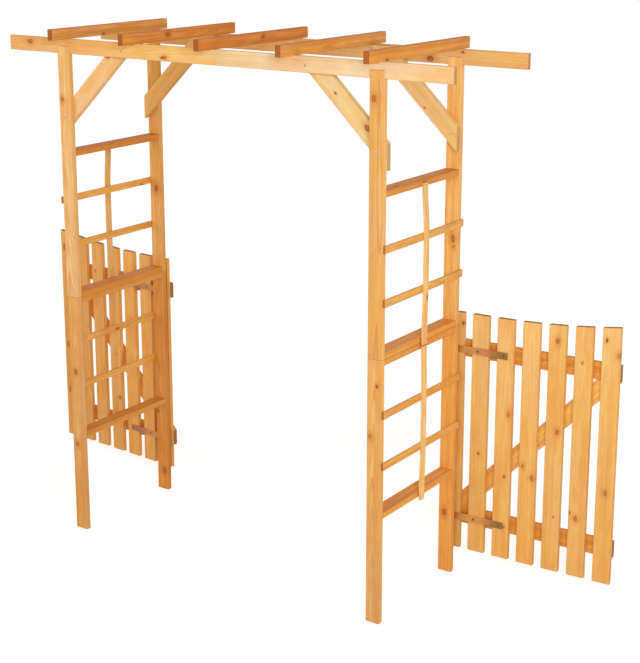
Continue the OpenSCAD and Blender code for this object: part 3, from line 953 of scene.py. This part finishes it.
for place in brace_looks:
    row, side = place.split("_")
    brace_low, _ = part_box(place + "_brace")
    post_low, post_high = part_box(place + "_post_upper")
    beam_low, beam_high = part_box(f"{row}_beam_{side}")
    spot = ((post_low.x + post_high.x) / 2, post_low.y if row == "front" else brace_low.y,
            brace_low.z + brace_screw_rise)
    screws["arch"].append((spot, forward))
    face, normal = (beam_low.y, forward) if row == "front" else (beam_high.y, backward)
    spot = (outward[side] * beam_screw_out, face, beam_low.z + beam_screw_rise)
    screws["arch"].append((spot, normal))
for number in rafter_looks:
    low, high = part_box(f"rafter_{number}")
    for row in ("front", "rear"):
        beam_low, beam_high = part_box(f"{row}_beam_left")
        spot = (low.x, (beam_low.y + beam_high.y) / 2, beam_high.z + rafter_screw_rise)
        screws["arch"].append((spot, (-1, 0, 0)))
for side, (straps, plates) in hinges.items():
    pin, reach, away = gates[side]
    for low, high in straps:
        for x in strap_screws:
            spot = pin + reach * x + up * (low[2] + high[2]) / 2 + away * (high[1] - sheet)
            screws[f"{side}_gate"].append((spot, -away))
    for low, high in plates:
        for way in (-1, 1):
            for x, lift in plate_screws:
                spot = pin + np.array((outward[side] * x, low[1] + sheet,
                                       (low[2] + high[2]) / 2 + way * lift))
                screws["arch"].append((spot, backward))

for side, out in outward.items():
    thick, stand = lath_fit[side]
    for place in rail_places:
        low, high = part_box(f"{side}_{place}_rail")
        middle_x, middle_z = (low.x + high.x) / 2, (low.z + high.z) / 2
        for row in ("front", "rear"):
            post_low, post_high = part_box(f"{row}_{side}_post_lower")
            face, normal = (post_low.y, forward) if row == "front" else (post_high.y, backward)
            for shift in (-rail_nail, rail_nail):
                x = middle_x + shift + chance.uniform(-nail_stray, nail_stray)
                z = middle_z + chance.uniform(-nail_stray, nail_stray)
                nails["arch"].append(((x, face, z), normal))
        stood = 0 if place == "top" else stand
        face = (high.x if out > 0 else low.x) + out * (stood + thick)
        for shift in (-lath_nail, lath_nail):
            y = shift + chance.uniform(-2 * nail_stray, 2 * nail_stray)
            nails["arch"].append(((face, y, middle_z + shift * lath_slant), (out, 0, 0)))
    for low, high in extents(f"{side}_cross_laths", np.eye(3)):
        face = high[0] if out > 0 else low[0]
        z = (low[2] + high[2]) / 2
        for y in (low[1] + lath_nail_in, high[1] - lath_nail_in):
            nails["arch"].append(((face, y, z), (out, 0, 0)))
        nails["arch"].append(((face + out * thick, nail_stray, z), (out, 0, 0)))

    pin, reach, away = gates[side]
    straps, _ = hinges[side]
    strap_reach, heights = straps[0][1][0], [(low[2] + high[2]) / 2 for low, high in straps]
    rails = [extents(f"{side}_gate_{place}_rail", (reach, up, away), pin)[0]
             for place in ("lower", "upper")]
    pickets = extents(f"{side}_gate_pickets", (reach, up, away), pin)
    (low, high), = extents(f"{side}_gate_diagonal", (reach, up, away), pin)
    for number, (picket_low, picket_high) in enumerate(pickets):
        middle = (picket_low[0] + picket_high[0]) / 2
        spots = [(middle + shift, (rail_low[1] + rail_high[1]) / 2 + shift * picket_slant)
                 for rail_low, rail_high in rails for shift in (-picket_nail, picket_nail)]
        if 0 < number < len(pickets) - 1:
            share = (middle - low[0]) / (high[0] - low[0])
            spots.append((middle, low[1] + share * (high[1] - low[1])))
        for x, z in spots:
            if x > strap_reach or min(abs(z - height) for height in heights) > strap_width / 2:
                spot = pin + reach * x + up * z + away * picket_low[2]
                nails[f"{side}_gate"].append((spot, -away))

for body in screws:
    nail, plating = (nail_head, bright_zinc) if body == "arch" else (brad_head, brown_zinc)
    for kind, spots, finishes, radius, tall, recess in (
        ("screws", screws[body], [plating, dark_steel_and_recess_shade], screw_head, screw_proud, recess_deep),
        ("nails", nails[body], [dark_steel_and_recess_shade], nail, nail_proud, 0.0),
    ):
        shape = bmesh.new()
        for spot, normal in spots:
            head(shape, spot, normal, chance.uniform(0, math.pi / 2), radius, tall, recess)
        metalwork(f"{body}_{kind}", shape, finishes, body, "hinge_zinc")

# --- Floor and light ---
# A pale studio floor that runs out into a white background, and two broad soft lamps, the
# stronger one at the right. The white surround is brighter at the horizon than overhead.

floor_reach, floor_drop = 14, 0.0005
horizon, overhead = 0.98, 0.28  # how bright the surround is as a light

bpy.context.scene.view_settings.view_transform = "Standard"

floor_mesh = bpy.data.meshes.new("floor")
ring = bmesh.new()
bmesh.ops.create_circle(ring, cap_ends=True, segments=96, radius=floor_reach)
ring.to_mesh(floor_mesh)
ring.free()
floor = in_scene("floor", floor_mesh)
floor.location.z = cad_low.z - floor_drop

paper, tree, surface = new_finish("floor_paper")
surface.inputs["Base Color"].default_value = (0.90, 0.90, 0.90, 1)
surface.inputs["Roughness"].default_value = 1.0
surface.inputs["Specular IOR Level"].default_value = 0.0
surface.inputs["Emission Strength"].default_value = 1.0
glow = Wire(tree).node("LightPath", output="Is Camera Ray") * 0.5
glow.feeds(surface, "Emission Color")
floor_mesh.materials.append(paper)

world = bpy.data.worlds.new("surround")
bpy.context.scene.world = world
world.use_nodes = True
tree = world.node_tree
backdrop = Wire(tree)
direct = backdrop.node("LightPath", output="Is Camera Ray")  # plain white where it is seen
for ray in ("Is Glossy Ray", "Is Transmission Ray"):
    direct = direct + backdrop.node("LightPath", output=ray)
direct = direct.maths("MINIMUM", 1.0)
height = backdrop.node("TexCoord", output="Generated").parts()[2].maths("MAXIMUM", 0.0)
surround = horizon - (horizon - overhead) * height
strength = surround + (1 - surround) * direct
tree.nodes["Background"].inputs["Color"].default_value = (1, 1, 1, 1)
strength.feeds(tree.nodes["Background"], "Strength")

key = in_scene("key_lamp", bpy.data.lights.new("key_lamp", "AREA"))
key.location = (4.5, -4.0, 3.2)
key.rotation_mode = "QUATERNION"
key.rotation_quaternion = (key.location - Vector((0, 0, 1))).to_track_quat("Z", "Y")
key.data.energy = 165
key.data.size = 2.4
key.visible_camera = False

fill = in_scene("fill_lamp", bpy.data.lights.new("fill_lamp", "SUN"))
fill.rotation_mode = "QUATERNION"
fill.rotation_quaternion = Vector((-0.50, -0.80, 0.35)).to_track_quat("Z", "Y")
fill.data.energy = 0.5
fill.data.angle = math.radians(40)
